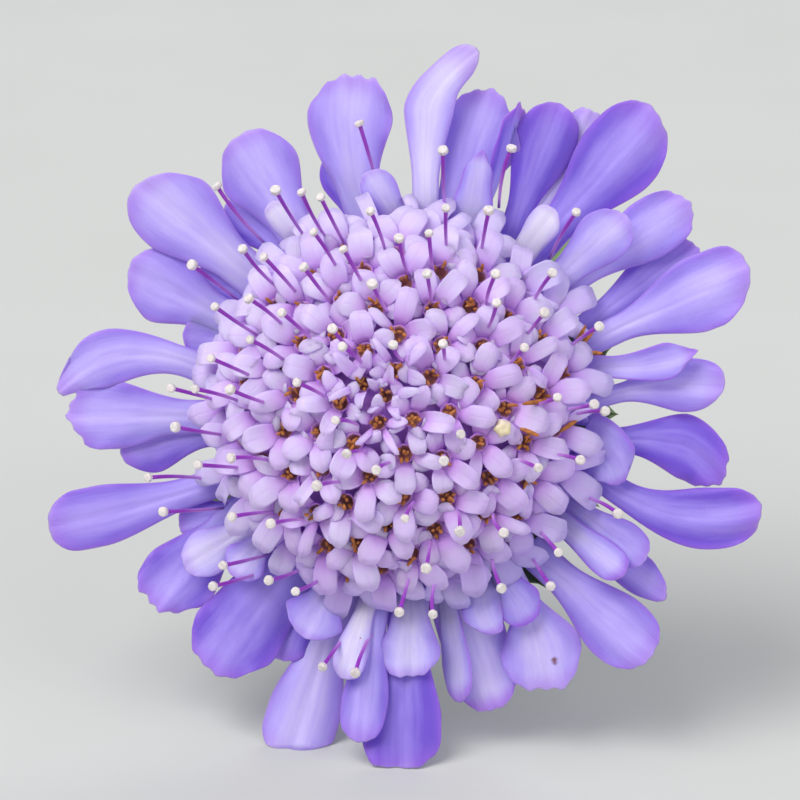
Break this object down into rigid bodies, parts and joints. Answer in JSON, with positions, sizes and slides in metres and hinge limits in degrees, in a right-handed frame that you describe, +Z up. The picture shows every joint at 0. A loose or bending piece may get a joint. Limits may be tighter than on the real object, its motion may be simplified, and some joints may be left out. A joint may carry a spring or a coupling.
{
  "type": "scabiosa flower",
  "caption": "Cut scabiosa bloom lying on its petal tips and stalk end: violet ray lobes round a pale dome of florets with pin-like styles.",
  "frame": {"origin": "middle of the bottom of the box of the whole flower as it lies", "axes": "+Z up, the face looks towards -Y and up, the stalk runs off along +Y, +X is on the right of a viewer of the face"},
  "size_m": [0.0498, 0.1134, 0.0457],
  "materials": {
    "stalk": "green, finely ribbed and downy",
    "bract": "matt green with short pale hairs",
    "ray_petal": "soft satin violet petal, paler at the base",
    "disc_petal": "soft satin pale lilac petal, with violet styles and white stigmas"
  },
  "bodies": {
    "root": {"stem": "stalk", "involucre": "bract", "ray_florets": "ray_petal", "disc_florets": "disc_petal"}
  },
  "joints": []
}
